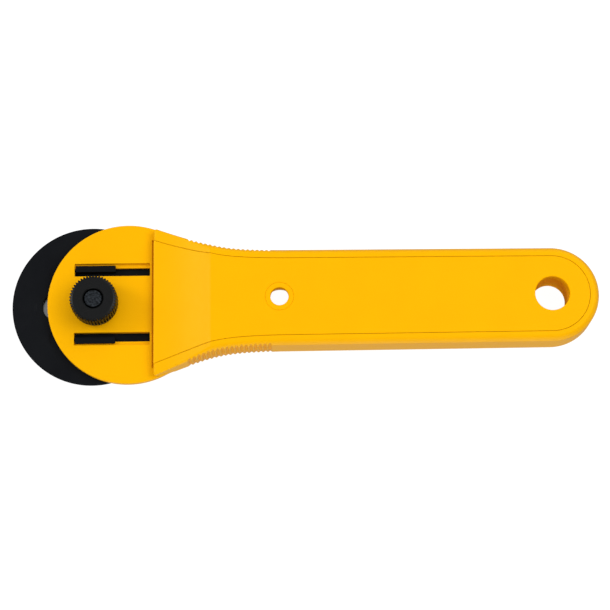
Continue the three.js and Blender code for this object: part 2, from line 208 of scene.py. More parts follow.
# Thumb nut
NUT_LOW_Z = 6.7
NUT_HIGH_Z = 14.4
NUT_FLANGE_RADIUS = 7
NUT_FLANGE_HEIGHT = 0.7
NUT_TIP_RADIUS = 7.2
NUT_ROOT_RADIUS = 6.5
NUT_FACE_RADIUS = 6.15
NUT_BEVEL_HEIGHT = 0.42
NUT_EDGE = 0.12                     # chamfer of its small edges
NUT_BORE_RADIUS = 3.05
NUT_MOUTH_RADIUS = 3.3
KNURL_TEETH = 46
KNURL_STEEPNESS = 1.3               # over 1, the teeth have flat tips
POINTS_PER_TOOTH = 8

# Fineness of the meshes
FINE_SEGMENTS = 256
ROUND_SEGMENTS = 128
SMALL_SEGMENTS = 48
ROUND_STEPS = 6
CORNER_POINTS = 7
FLARE_STEP = 0.8
CREASE_STATIONS = 9
NECK_STATIONS = 12
STATION_DECIMALS = 3
LEAST_STEP = 0.04                   # stations closer than this are merged
RINGS_PER_THREAD_TURN = 12
END_FACE_RINGS = 14
BEVEL_STEPS = 8
WASHER_STEPS = 8
CUT_TURN = math.radians(78)         # how far a cutter's flare turns from upright
SHARP_ANGLE = math.radians(32)      # edges sharper than this are not smoothed over
NORMAL_WEIGHT = 80
HAIR = 0.01                         # a length too small to see
OVERSHOOT = 1                       # how far cutters run past what they cut

FAR_Y = HEAD_RADIUS + OVERSHOOT
FLOOR_Z = -OVERSHOOT
ROOF_Z = HANDLE_THICKNESS + OVERSHOOT

# Floor, in metres where it is a length
FLOOR_HALF_SIZE = 3.0
FLOOR_GREY = 0.1
FLOOR_ROUGHNESS = 0.9
FLOOR_GLOW = 0.97

# Studio's light by direction: 0 is straight down, 0.5 is level, 1 is straight up
LIGHT_BELOW = 0.35
LIGHT_LEVEL = 0.42
LIGHT_ABOVE = 1.03
STUDIO = (
    (0.0, LIGHT_BELOW),
    (0.4, LIGHT_BELOW),
    (0.52, LIGHT_LEVEL),
    (0.68, LIGHT_LEVEL),
    (0.88, LIGHT_ABOVE),
    (1.0, LIGHT_ABOVE),
)

# Lights: name, azimuth and elevation in degrees, width in metres, radiance
LIGHT_DISTANCE = 1.2                # metres
LIGHTS = (
    ("left_light", -105, 38, 0.42, 9.3),
    ("right_light", 96, 56, 0.7, 3.6),
    ("far_light", 150, 30, 1.2, 0.9),
    ("near_light", 0, -12, 1.8, 1.45),
)

# Camera, in mm about the blade's axis and in degrees
CAMERA_TARGET_X = 64.1
CAMERA_TARGET_Y = -1.36
CAMERA_DISTANCE = 666
CAMERA_ELEVATION = 78.07
CAMERA_ROLL = -0.66
CAMERA_LENS = 128.7
CAMERA_SENSOR = 36
CAMERA_CLIP_START = 0.01            # metres
CAMERA_CLIP_END = 20                # metres


# ---------------------------------------------------------------- rings and solids

def solid(name, rings, closed=False):
    """A closed mesh through rings of equal length, each counterclockwise from above. Point i and
    point -1-i of a ring share one x, so that straight rungs between them close the two ends.
    `closed` joins the last ring to the first instead, as in a ring-shaped piece."""
    count = len(rings[0])
    levels = len(rings)
    faces = []
    for level in range(levels if closed else levels - 1):
        here = level * count
        above = (level + 1) % levels * count
        for i in range(count):
            j = (i + 1) % count
            faces.append((here + i, here + j, above + j, above + i))
    if not closed:
        top = (levels - 1) * count
        for i in range((count - 1) // 2):
            rung = list(dict.fromkeys((i, i + 1, count - 2 - i, count - 1 - i)))
            faces.append([top + k for k in rung])
            faces.append(rung[::-1])
    mesh = bpy.data.meshes.new(name)
    mesh.from_pydata([point for ring in rings for point in ring], [], faces)
    obj = bpy.data.objects.new(name, mesh)
    bpy.context.scene.collection.objects.link(obj)
    return obj


def circle(radius, height, segments, x=0.0, y=0.0):
    """A ring about (x, y). The radius may be a number or a function of the angle."""
    points = []
    for i in range(segments):
        angle = -math.pi + (i + 0.5) * 2 * math.pi / segments
        reach = radius(angle) if callable(radius) else radius
        points.append((x + reach * math.cos(angle), y + reach * math.sin(angle), height))
    return points


def turned(name, profile, segments=ROUND_SEGMENTS, x=0.0, y=0.0, closed=False):
    """A solid of revolution about the vertical line through (x, y), from (radius, height) pairs."""
    rings = [circle(radius, height, segments, x, y) for radius, height in profile]
    return solid(name, rings, closed)


def rectangle(x0, x1, y0, y1, corner, inset, height):
    """A ring round a rectangle with rounded corners, pulled in by `inset`."""
    points = []
    radius = max(corner - inset, HAIR)
    corners = (
        (x0 + inset + radius, y0 + inset + radius, math.pi),
        (x1 - inset - radius, y0 + inset + radius, 1.5 * math.pi),
        (x1 - inset - radius, y1 - inset - radius, 2 * math.pi),
        (x0 + inset + radius, y1 - inset - radius, 2.5 * math.pi),
    )
    for x, y, start in corners:
        for k in range(CORNER_POINTS):
            angle = start + math.pi / 2 * k / (CORNER_POINTS - 1)
            points.append((x + radius * math.cos(angle), y + radius * math.sin(angle), height))
    return points


def slab_edge(low, high, low_round, high_round):
    """(inset, height) pairs up the side of a slab with rounded edges."""
    pairs = []
    for k in range(ROUND_STEPS + 1):
        turn = math.pi / 2 * (1 - k / ROUND_STEPS)
        pairs.append((low_round * (1 - math.cos(turn)), low + low_round * (1 - math.sin(turn))))
    for k in range(ROUND_STEPS + 1):
        turn = math.pi / 2 * k / ROUND_STEPS
        pairs.append((high_round * (1 - math.cos(turn)), high - high_round * (1 - math.sin(turn))))
    return [p for i, p in enumerate(pairs) if i == 0 or p != pairs[i - 1]]


def cut_flare(radius, face, way):
    """(inset, height) pairs along a cutter's flare, from its wall out to the face at height
    `face`. `way` is 1 where the wall is above the face, and -1 where it is below."""
    pairs = []
    for k in range(ROUND_STEPS + 1):
        turn = CUT_TURN * k / ROUND_STEPS
        inset = -radius * (1 - math.cos(turn))
        pairs.append((inset, face + way * radius * (1 - math.sin(turn))))
    return pairs


def cut_edge(low, high, low_round=0.0, high_round=0.0):
    """(inset, height) pairs up a cutter's side. It flares out to each face that has a rounding,
    and then runs on past it."""
    pairs = [(0.0, low)]
    if low_round:
        flare = cut_flare(low_round, low, 1)[::-1]
        pairs = [(flare[0][0], low - OVERSHOOT), *flare]
    if not high_round:
        return [*pairs, (0.0, high)]
    flare = cut_flare(high_round, high, -1)
    return [*pairs, *flare, (flare[-1][0], high + OVERSHOOT)]


def disc(name, radius, edge, segments=ROUND_SEGMENTS, x=0.0, y=0.0):
    """A round solid about (x, y), with (inset, height) pairs up its side."""
    return turned(name, [(radius - inset, z) for inset, z in edge], segments, x, y)


def bar(name, x0, x1, y0, y1, corner, edge):
    """A rectangular solid with rounded corners, and (inset, height) pairs up its side."""
    y0, y1 = min(y0, y1), max(y0, y1)
    return solid(name, [rectangle(x0, x1, y0, y1, corner, inset, z) for inset, z in edge])


def block(name, x0, x1, y0, y1, z0, z1):
    """A plain square block."""
    return bar(name, x0, x1, y0, y1, HAIR, [(0.0, z0), (0.0, z1)])


def combine(target, tool, operation):
    """Joins or cuts `target` by `tool`, which is used up."""
    modifier = target.modifiers.new("combine", "BOOLEAN")
    modifier.operation = operation
    modifier.solver = "MANIFOLD"
    modifier.object = tool
    bpy.context.view_layer.objects.active = target
    bpy.ops.object.modifier_apply(modifier=modifier.name)
    bpy.data.objects.remove(tool)
    return target


def cut(target, *tools):
    for tool in tools:
        combine(target, tool, "DIFFERENCE")
    return target


def join(target, *tools):
    for tool in tools:
        combine(target, tool, "UNION")
    return target


def keep(target, tool):
    """Keeps only what `target` and `tool` share."""
    return combine(target, tool, "INTERSECT")


# ---------------------------------------------------------------- handle outline and front

def front_height(x):
    """Height of the handle's front face at x: step, scoop, a soft crease, then flat."""
    if x <= STEP_X:
        return STEP_TOP_Z
    before = SCOOP_X - x
    if before <= -CREASE_HALF_WIDTH:
        return HANDLE_THICKNESS
    if before <= CREASE_HALF_WIDTH:
        slope = (HANDLE_THICKNESS - SCOOP_CONTROL_Z) / (SCOOP_X - SCOOP_CONTROL_X)
        drop = slope * (before + CREASE_HALF_WIDTH) ** 2 / (4 * CREASE_HALF_WIDTH)
        return HANDLE_THICKNESS - drop
    curve = STEP_X - 2 * SCOOP_CONTROL_X + SCOOP_X
    rise = 2 * (SCOOP_CONTROL_X - STEP_X)
    t = 2 * (x - STEP_X) / (rise + math.sqrt(rise * rise + 4 * curve * (x - STEP_X)))
    return (1 - t) ** 2 * STEP_TOP_Z + 2 * t * (1 - t) * SCOOP_CONTROL_Z + t * t * HANDLE_THICKNESS


def serration(x):
    """How deep the grip's grooves go at x: a smooth wave that starts and ends on a crest."""
    turns = (x - SERRATION_START_X) / SERRATION_PITCH
    if not -0.5 <= turns <= SERRATION_COUNT - 0.5:
        return 0.0
    return SERRATION_DEPTH * (1 + math.cos(2 * math.pi * turns)) / 2


class Outline:
    """The handle's outline, pulled in by `inset`, from a square start to the round tail."""

    def __init__(self, start_x, inset, slope, grooved=False, corner=0.0):
        self.start_x = start_x
        self.corner = corner
        self.neck = NECK_HALF_WIDTH - inset
        self.tail = TAIL_RADIUS - inset
        self.slope = slope
        self.grooved = grooved
        flare = np.arange(start_x, FLARE_END_X, FLARE_STEP)
        crease_low = SCOOP_X - CREASE_HALF_WIDTH
        crease = np.linspace(crease_low, SCOOP_X + CREASE_HALF_WIDTH, CREASE_STATIONS)
        grip_low = SERRATION_START_X - SERRATION_PITCH / 2
        grip_count = SERRATION_COUNT * STATIONS_PER_SERRATION + 1
        grip_high = grip_low + SERRATION_COUNT * SERRATION_PITCH
        grip = np.linspace(grip_low, grip_high, grip_count) if grooved else []
        neck = np.linspace(FLARE_END_X, TAIL_CENTRE_X, NECK_STATIONS)
        turn = np.linspace(0, math.pi / 2, CORNER_POINTS)
        start = start_x + corner * (1 - np.cos(turn))
        every = np.concatenate([start, flare, crease, grip, neck])
        every = np.unique(np.round(every[every >= start_x], STATION_DECIMALS))
        apart = np.concatenate([[True], np.diff(every) > LEAST_STEP])
        self.stations = [float(x) for x in every[apart]]

    def half_width(self, x):
        """Half the width at x, and its slope there."""
        before = SHOULDER_X - min(x, FLARE_END_X)
        reach = math.hypot(before, SHOULDER_BLEND)
        width = self.neck + self.slope / 2 * (before + reach)
        if x <= FLARE_END_X:
            return width, -self.slope / 2 * (1 + before / reach)
        taper = (self.tail - width) / (TAIL_CENTRE_X - FLARE_END_X)
        return width + taper * (x - FLARE_END_X), taper

    def ring(self, inset, height, start_inset=0.0):
        """The outline pulled in by `inset` more. `inset` and `height` are numbers or functions
        of x."""
        inset_at = inset if callable(inset) else lambda x: inset
        side = []
        length = TAIL_CENTRE_X - self.start_x
        for station in self.stations:
            x = station + start_inset * (TAIL_CENTRE_X - station) / length
            width, slope = self.half_width(x)
            depth = max(inset_at(x), serration(x)) if self.grooved else inset_at(x)
            short = max(self.corner - (station - self.start_x), 0.0)
            round_off = self.corner - math.sqrt(self.corner ** 2 - short ** 2)
            side.append((x, width - depth * math.hypot(1, slope) - round_off))
        tail = []
        radius = self.tail - inset_at(TAIL_CENTRE_X)
        for k in range(1, SMALL_SEGMENTS):
            angle = -math.pi / 2 + math.pi * k / SMALL_SEGMENTS
            tail.append((TAIL_CENTRE_X + radius * math.cos(angle), radius * math.sin(angle)))
        path = [(x, -y) for x, y in side] + tail + side[::-1]
        return [(x, y, height(x) if callable(height) else height) for x, y in path]


def under_front(depth):
    """A height function that follows the handle's front face, `depth` below it."""
    return lambda x: front_height(x) - depth


def outline_solid(name, outline, edge):
    """A slab of an outline between two level heights, from (inset, height) pairs."""
    return solid(name, [outline.ring(inset, z, max(inset, 0.0)) for inset, z in edge])


def hole(name, radius, x, edge, segments=ROUND_SEGMENTS):
    """The cutter for a round hole on the handle's middle line."""
    return disc(name, radius, edge, segments, x)


# ---------------------------------------------------------------- handle frame

def round_share(x):
    """How much of the full edge rounding the front has at x: little at the step, all on top."""
    rise = (front_height(x) - STEP_TOP_Z) / (HANDLE_THICKNESS - STEP_TOP_Z)
    return STEP_ROUND_SHARE + (1 - STEP_ROUND_SHARE) * rise ** ROUND_GROWTH


def edge_rounding():
    """(inset, depth) pairs from the arris at the handle's side to the flat of its face."""
    arris = math.radians(EDGE_ARRIS_TURN)
    pairs = []
    for k in range(2 * ROUND_STEPS + 1):
        turn = arris + (math.pi / 2 - arris) * k / (2 * ROUND_STEPS)
        inset = EDGE_ROUND_WIDTH * (1 - math.cos(turn) / math.cos(arris))
        depth = EDGE_ROUND_HEIGHT * (1 - math.sin(turn)) / (1 - math.sin(arris))
        pairs.append((inset, depth))
    return pairs


def rounded_blank():
    """The uncut handle: its outline, grip grooves and rounded edges, square at the step."""
    outline = Outline(STEP_X, 0, FLARE_SLOPE, grooved=True, corner=STEP_CORNER)
    rounding = edge_rounding()
    rings = [outline.ring(inset, depth) for inset, depth in rounding[::-1]]
    for inset, depth in rounding:
        rings.append(outline.ring(
            lambda x, inset=inset: inset * round_share(x),
            lambda x, depth=depth: front_height(x) - depth * round_share(x),
            STEP_EDGE_ROUND * inset / EDGE_ROUND_WIDTH))
    return solid("handle_moulding", rings)


def seat_outline(start_x):
    """The outer side of the seam round an inlay."""
    return Outline(start_x, SEAM_INSET - SEAM / 2, PANEL_FLARE_SLOPE)


def panel_outline(start_x):
    """The inner side of the seam round an inlay."""
    return Outline(start_x, SEAM_INSET + SEAM / 2, PANEL_FLARE_SLOPE)


def front_seat():
    """The cutter for the front inlay's seat."""
    outline = seat_outline(STEP_X - OVERSHOOT)
    rings = [outline.ring(0.0, under_front(SEAT_DEPTH))]
    for inset, z in cut_edge(-SEAT_DEPTH, 0.0, 0.0, SEAM_ROUND)[1:]:
        rings.append(outline.ring(inset, under_front(-z)))
    return solid("front_seat", rings)


def back_seat():
    """The cutter for the back inlay's seat, with its arc round the head."""
    outline = seat_outline(STEP_X - OVERSHOOT)
    seat = outline_solid("back_seat", outline, cut_edge(0.0, SEAT_DEPTH, SEAM_ROUND, 0.0))
    radius = BACK_PANEL_END_RADIUS - SEAM
    edge = [(-inset, z) for inset, z in cut_edge(0.0, SEAT_DEPTH + OVERSHOOT, SEAM_ROUND, 0.0)]
    edge.insert(0, (edge[0][0], FLOOR_Z - OVERSHOOT))
    return cut(seat, disc("head_side", radius, edge, FINE_SEGMENTS, HEAD_CENTRE_X))


def pocket_supports():
    """What stands in the pockets: cross ribs, sockets for the pins, tubes round the holes."""
    low = FLOOR_Z - OVERSHOOT
    high = ROOF_Z + OVERSHOOT
    through = [(0.0, low), (0.0, high)]
    socket_radius = PIN_RADIUS + PIN_CLEARANCE + SOCKET_WALL
    tools = [block("rib", x, x + RIB_THICKNESS, -FAR_Y, FAR_Y, low, high) for x in RIB_STATIONS]
    tools += [disc("socket", socket_radius, through, SMALL_SEGMENTS, x) for x in PIN_STATIONS]
    tools.append(disc("tail_tube", TAIL_HOLE_RADIUS + WALL, through, x=TAIL_HOLE_X))
    tools.append(disc("middle_tube", MIDDLE_BORE_RADIUS + WALL, through, x=MIDDLE_HOLE_X))
    return tools


def pockets():
    """Cutters that hollow the moulding on both sides of its web, and behind the step."""
    inset = BORDER_WIDTH + LEDGE_WIDTH
    split = RIB_STATIONS[0]
    head = outline_solid("head_pocket", Outline(STEP_X + WALL, inset, PANEL_FLARE_SLOPE),
                         [(0.0, HEAD_HIGH_Z), (0.0, ROOF_Z)])
    keep(head, block("head_part", 0, split, -FAR_Y, FAR_Y, 0, ROOF_Z + OVERSHOOT))
    outline = Outline(split, inset, PANEL_FLARE_SLOPE)
    back = outline_solid("back_pocket", outline, [(0.0, FLOOR_Z), (0.0, WEB_LOW_Z)])
    front = outline_solid("front_pocket", outline, [(0.0, WEB_HIGH_Z), (0.0, ROOF_Z)])
    return [head, cut(back, *pocket_supports()), cut(front, *pocket_supports())]


def double_d(name, radius, half_flats, low, high):
    """A round bar with two flats facing +Y and -Y."""
    round_bar = disc(name, radius, [(0.0, low), (0.0, high)])
    flats_low = low - OVERSHOOT
    flats_high = high + OVERSHOOT
    flats = block("flats", -FAR_Y, FAR_Y, -half_flats, half_flats, flats_low, flats_high)
    return keep(round_bar, flats)


def rail_slots():
    """The two slots through the head plate, each with a ledge along its outer side."""
    slot_edge = cut_edge(HEAD_LOW_Z, HEAD_HIGH_Z, SLOT_EDGE_ROUND, SLOT_EDGE_ROUND)
    ledge_edge = cut_edge(SLOT_LEDGE_Z, HEAD_HIGH_Z, 0.0, SLOT_EDGE_ROUND)
    tools = []
    for side in (-1, 1):
        inner = side * SLOT_INNER_Y
        ledge = side * SLOT_LEDGE_Y
        outer = side * SLOT_OUTER_Y
        tools.append(bar("slot", SLOT_START_X, SLOT_END_X, inner, ledge, SLOT_CORNER, slot_edge))
        tools.append(bar("ledge", SLOT_START_X, SLOT_END_X, inner, outer, SLOT_CORNER, ledge_edge))
    return tools


def foot_groove():
    """A fine groove in the plate along the step's foot."""
    start_x = STEP_X - FOOT_GROOVE_WIDTH
    end_x = STEP_X + FOOT_GROOVE_OVERLAP
    half = FOOT_GROOVE_LENGTH / 2
    edge = [(0.0, HEAD_HIGH_Z - FOOT_GROOVE_DEPTH), (0.0, HEAD_HIGH_Z + FOOT_GROOVE_OVERLAP)]
    return bar("foot", start_x, end_x, -half, half, FOOT_GROOVE_CORNER, edge)


def make_handle_frame():
    """The handle's outer moulding with its web and ribs, and the round head plate."""
    body = rounded_blank()
    recess = disc("recess", HEAD_RADIUS + RECESS_CLEARANCE, [(0.0, FLOOR_Z), (0.0, HEAD_LOW_Z)],
                  FINE_SEGMENTS, HEAD_CENTRE_X)
    cut(body, recess)
    plate_edge = slab_edge(HEAD_LOW_Z, HEAD_HIGH_Z, HEAD_EDGE_ROUND, HEAD_EDGE_ROUND)
    join(body, disc("plate", HEAD_RADIUS, plate_edge, FINE_SEGMENTS, HEAD_CENTRE_X))
    cut(body, front_seat(), back_seat(), *pockets())
    through = [(0.0, FLOOR_Z), (0.0, ROOF_Z)]
    cut(body, hole("tail_bore", TAIL_HOLE_RADIUS, TAIL_HOLE_X, through))
    cut(body, hole("middle_bore", MIDDLE_BORE_RADIUS, MIDDLE_HOLE_X, through))
    cut(body, double_d("key_hole", BOLT_SHOULDER_RADIUS + KEY_CLEARANCE,
                       BOLT_HALF_FLATS + KEY_CLEARANCE, FLOOR_Z, ROOF_Z))
    for x in PIN_STATIONS:
        for low, high in ((FLOOR_Z, WEB_LOW_Z), (WEB_HIGH_Z, ROOF_Z)):
            cut(body, hole("socket_bore", PIN_RADIUS + PIN_CLEARANCE, x, [(0.0, low), (0.0, high)],
                           SMALL_SEGMENTS))
    return cut(body, foot_groove(), *rail_slots())


# ---------------------------------------------------------------- inlay panels

def pins(low, high):
    """The pins that hold an inlay in the frame's sockets."""
    edge = [(0.0, low), (0.0, high)]
    return [disc("pin", PIN_RADIUS, edge, SMALL_SEGMENTS, x) for x in PIN_STATIONS]


def mark_ring():
    """A fine V groove round the middle hole."""
    half = MARK_RING_WIDTH / 2
    profile = [
        (MARK_RING_RADIUS, HANDLE_THICKNESS - MARK_RING_DEPTH),
        (MARK_RING_RADIUS + half, HANDLE_THICKNESS + HAIR),
        (MARK_RING_RADIUS + half, ROOF_Z),
        (MARK_RING_RADIUS - half, ROOF_Z),
        (MARK_RING_RADIUS - half, HANDLE_THICKNESS + HAIR),
    ]
    return turned("mark_ring", profile, ROUND_SEGMENTS, MIDDLE_HOLE_X, closed=True)


def make_front_panel():
    """The front inlay, which follows the ramp and the flat, with its pins and two holes."""
    outline = panel_outline(STEP_X)
    rings = [outline.ring(0.0, under_front(PANEL_THICKNESS))]
    for inset, z in slab_edge(-PANEL_THICKNESS, 0.0, 0.0, SEAM_ROUND)[1:]:
        share = inset / SEAM_ROUND
        rings.append(outline.ring(inset, under_front(-z), STEP_EDGE_ROUND * share))
    panel = solid("front_panel_inlay", rings)
    inside = HANDLE_THICKNESS - PANEL_THICKNESS
    join(panel, *pins(inside - PIN_LENGTH, inside + PANEL_THICKNESS / 2))
    tail_edge = cut_edge(inside, HANDLE_THICKNESS, TAIL_HOLE_ROUND / 2, TAIL_HOLE_ROUND)
    middle_edge = cut_edge(inside, HANDLE_THICKNESS, MIDDLE_HOLE_ROUND / 2, MIDDLE_HOLE_ROUND)
    return cut(panel, hole("tail_hole", TAIL_HOLE_RADIUS, TAIL_HOLE_X, tail_edge),
               hole("middle_hole", MIDDLE_HOLE_RADIUS, MIDDLE_HOLE_X, middle_edge), mark_ring())


def make_back_panel():
    """The flat back inlay, which ends in an arc round the head, with its pins and two holes."""
    side = slab_edge(0.0, PANEL_THICKNESS, SEAM_ROUND, 0.0)
    panel = outline_solid("back_panel_inlay", panel_outline(STEP_X), side)
    end = [(-inset, z) for inset, z in side]
    end = [(end[0][0], FLOOR_Z), *end, (0.0, PANEL_THICKNESS + OVERSHOOT)]
    cut(panel, disc("head_side", BACK_PANEL_END_RADIUS, end, FINE_SEGMENTS, HEAD_CENTRE_X))
    join(panel, *pins(PANEL_THICKNESS / 2, PANEL_THICKNESS + PIN_LENGTH))
    hole_edge = cut_edge(0.0, PANEL_THICKNESS, TAIL_HOLE_ROUND, TAIL_HOLE_ROUND / 2)
    return cut(panel, hole("tail_hole", TAIL_HOLE_RADIUS, TAIL_HOLE_X, hole_edge),
               hole("middle_hole", MIDDLE_BORE_RADIUS, MIDDLE_HOLE_X, hole_edge))


# ---------------------------------------------------------------- guard and blade

def guard_rail(side):
    """One hooked rail: an upright through the head's slot, and a lip over its ledge."""
    start_x = SLOT_START_X + RAIL_CLEARANCE
    end_x = SLOT_END_X - RAIL_CLEARANCE - GUARD_TRAVEL
    inner = side * RAIL_INNER_Y
    upright = side * (SLOT_LEDGE_Y - RAIL_CLEARANCE)
    lip = side * (SLOT_OUTER_Y - LIP_CLEARANCE)
    root_z = GUARD_LOW_Z + RAIL_CLEARANCE
    rail = bar("rail", start_x, end_x, inner, upright, SLOT_CORNER,
               slab_edge(root_z, RAIL_HIGH_Z, 0.0, RAIL_EDGE_ROUND))
    lip_edge = slab_edge(HOOK_LOW_Z, RAIL_HIGH_Z, RAIL_EDGE_ROUND, RAIL_EDGE_ROUND)
    return join(rail, bar("lip", start_x, end_x, inner, lip, SLOT_CORNER, lip_edge))


def make_guard():
    """A chamfered disc with two hooked rails, a long hole for the bolt and round ejector marks."""
    edge = [
        (GUARD_CHAMFER / 2, GUARD_LOW_Z),
        (0.0, GUARD_LOW_Z + GUARD_CHAMFER / 2),
        (0.0, GUARD_HIGH_Z - GUARD_CHAMFER),
        (GUARD_CHAMFER, GUARD_HIGH_Z),
    ]
    guard = disc("guard_moulding", GUARD_RADIUS, edge, FINE_SEGMENTS, GUARD_CENTRE_X)
    join(guard, guard_rail(-1), guard_rail(1))
    rings = []
    for inset, z in cut_edge(GUARD_LOW_Z, GUARD_HIGH_Z, SLOT_EDGE_ROUND, SLOT_EDGE_ROUND):
        rings.append(long_hole(-GUARD_SLOT_REACH, 0.0, GUARD_SLOT_RADIUS - inset, z))
    cut(guard, solid("slot", rings))
    flare = -EJECTOR_SLOPE / EJECTOR_DEPTH * OVERSHOOT
    front = [(EJECTOR_SLOPE, GUARD_HIGH_Z - EJECTOR_DEPTH), (flare, GUARD_HIGH_Z + OVERSHOOT)]
    back = [(flare, GUARD_LOW_Z - OVERSHOOT), (EJECTOR_SLOPE, GUARD_LOW_Z + EJECTOR_DEPTH)]
    for x, y in EJECTOR_MARKS:
        for edge in (front, back):
            cut(guard, disc("mark", EJECTOR_RADIUS, edge, ROUND_SEGMENTS, x, y))
    return guard


def long_hole(x0, x1, radius, height):
    """A ring round a hole with two round ends, centred at x0 and x1."""
    half = []
    for k in range(SMALL_SEGMENTS):
        angle = math.pi / 2 * (k + 0.5) / SMALL_SEGMENTS
        half.append((x0 - radius * math.cos(angle), -radius * math.sin(angle)))
    for k in range(SMALL_SEGMENTS):
        angle = math.pi / 2 * (k + 0.5) / SMALL_SEGMENTS
        half.append((x1 + radius * math.sin(angle), -radius * math.cos(angle)))
    path = half + [(x, -y) for x, y in half[::-1]]
    return [(x, y, height) for x, y in path]


def make_blade():
    """A thin disc, ground to an edge from both sides, with a round hole."""
    high = BLADE_LOW_Z + BLADE_THICKNESS
    middle = BLADE_LOW_Z + BLADE_THICKNESS / 2
    land = BLADE_RADIUS - BLADE_BEVEL
    lip = BLADE_HOLE_RADIUS + BLADE_THICKNESS / 6
    profile = [
        (lip, BLADE_LOW_Z),
        (land, BLADE_LOW_Z),
        (BLADE_RADIUS, middle - BLADE_EDGE / 2),
        (BLADE_RADIUS, middle + BLADE_EDGE / 2),
        (land, high),
        (lip, high),
        (BLADE_HOLE_RADIUS, high - BLADE_THICKNESS / 6),
        (BLADE_HOLE_RADIUS, BLADE_LOW_Z + BLADE_THICKNESS / 6),
    ]
    return turned("ground_blade", profile, FINE_SEGMENTS, closed=True)


# ---------------------------------------------------------------- bolt, washer and nut

def triangle_wave(turns):
    """0 at each whole number, and 1 half way between."""
    return 1 - abs(2 * (turns - math.floor(turns)) - 1)


def threaded_shank():
    """A right-handed thread that fades out at both ends, with a rough, chamfered end face."""
    start = KEY_HIGH_Z - OVERSHOOT
    chamfer_z = SHANK_HIGH_Z - SHANK_CHAMFER
    count = round((SHANK_HIGH_Z - KEY_HIGH_Z) / THREAD_PITCH * RINGS_PER_THREAD_TURN)
    heights = [start] + list(np.linspace(KEY_HIGH_Z, SHANK_HIGH_Z, count + 1))
    rings = []
    for z in heights:
        fade_in = max((z - KEY_HIGH_Z) / THREAD_PITCH - THREAD_START, 0.0)
        fade_out = (SHANK_HIGH_Z - z) / THREAD_PITCH / THREAD_END
        fade = min(fade_in, fade_out, 1.0)
        limit = SHANK_RADIUS - max(z - chamfer_z, 0.0)

        def radius(angle, z=z, fade=fade, limit=limit):
            turns = z / THREAD_PITCH - angle / (2 * math.pi)
            groove = THREAD_DEPTH * min(1.0, THREAD_STEEPNESS * triangle_wave(turns)) * fade
            return min(SHANK_RADIUS - groove, limit)

        rings.append(circle(radius, float(z), ROUND_SEGMENTS))
    face_radius = SHANK_RADIUS - END_FACE_INSET * SHANK_CHAMFER
    for k in range(END_FACE_RINGS):
        ring = []
        for x, y, z in circle(face_radius * (1 - k / END_FACE_RINGS), SHANK_HIGH_Z, ROUND_SEGMENTS):
            grain = noise.noise(Vector((x * END_FACE_GRAIN, y * END_FACE_GRAIN, END_FACE_SEED)))
            ring.append((x, y, z + END_FACE_ROUGHNESS * (grain - 1)))
        rings.append(ring)
    return solid("shank", rings)


def make_bolt():
    """A round head, a shoulder for the blade, flats that key it to the plate, and the shank."""
    head_edge = [
        (BOLT_HEAD_CHAMFER * 2, BOLT_HEAD_LOW_Z),
        (BOLT_HEAD_CHAMFER, BOLT_HEAD_LOW_Z + BOLT_HEAD_CHAMFER / 6),
        (BOLT_HEAD_CHAMFER / 4, BOLT_HEAD_LOW_Z + BOLT_HEAD_CHAMFER * 0.6),
        (0.0, BOLT_HEAD_LOW_Z + BOLT_HEAD_CHAMFER),
        (0.0, BOLT_HEAD_HIGH_Z - BOLT_HEAD_CHAMFER / 5),
        (BOLT_HEAD_CHAMFER / 5, BOLT_HEAD_HIGH_Z),
    ]
    bolt = disc("blackened_bolt", BOLT_HEAD_RADIUS, head_edge)
    shoulder_edge = [(0.0, BOLT_HEAD_HIGH_Z - OVERSHOOT), (0.0, KEY_LOW_Z)]
    join(bolt, disc("shoulder", BOLT_SHOULDER_RADIUS, shoulder_edge))
    key_low = KEY_LOW_Z - OVERSHOOT
    join(bolt, double_d("key", BOLT_SHOULDER_RADIUS, BOLT_HALF_FLATS, key_low, KEY_HIGH_Z))
    return join(bolt, threaded_shank())


def make_washer():
    """A flat ring bent about the Y axis, so that it stands on its two ends."""
    high = WASHER_LOW_Z + WASHER_THICKNESS
    edge = slab_edge(WASHER_LOW_Z, high, WASHER_THICKNESS / 4, WASHER_THICKNESS / 4)
    outside = [(WASHER_OUTER_RADIUS - inset, z) for inset, z in edge]
    inside = [(WASHER_INNER_RADIUS + inset, z) for inset, z in edge[::-1]]
    width = WASHER_OUTER_RADIUS - WASHER_INNER_RADIUS
    radii = [WASHER_OUTER_RADIUS - width * k / WASHER_STEPS for k in range(1, WASHER_STEPS)]
    top = [(radius, high) for radius in radii]
    bottom = [(radius, WASHER_LOW_Z) for radius in radii[::-1]]
    washer = turned("bowed_washer", outside + top + inside + bottom, ROUND_SEGMENTS, closed=True)
    for vertex in washer.data.vertices:
        reach = vertex.co.x / WASHER_OUTER_RADIUS
        vertex.co.z += WASHER_BOW * (1 - reach * reach)
    return washer


def knurl(limit):
    """The knurl's radius as a function of the angle, and `limit` at the most."""
    def radius(angle):
        wave = triangle_wave(angle * KNURL_TEETH / (2 * math.pi))
        crest = min(1.0, KNURL_STEEPNESS * wave)
        return min(NUT_ROOT_RADIUS + (NUT_TIP_RADIUS - NUT_ROOT_RADIUS) * crest, limit)
    return radius


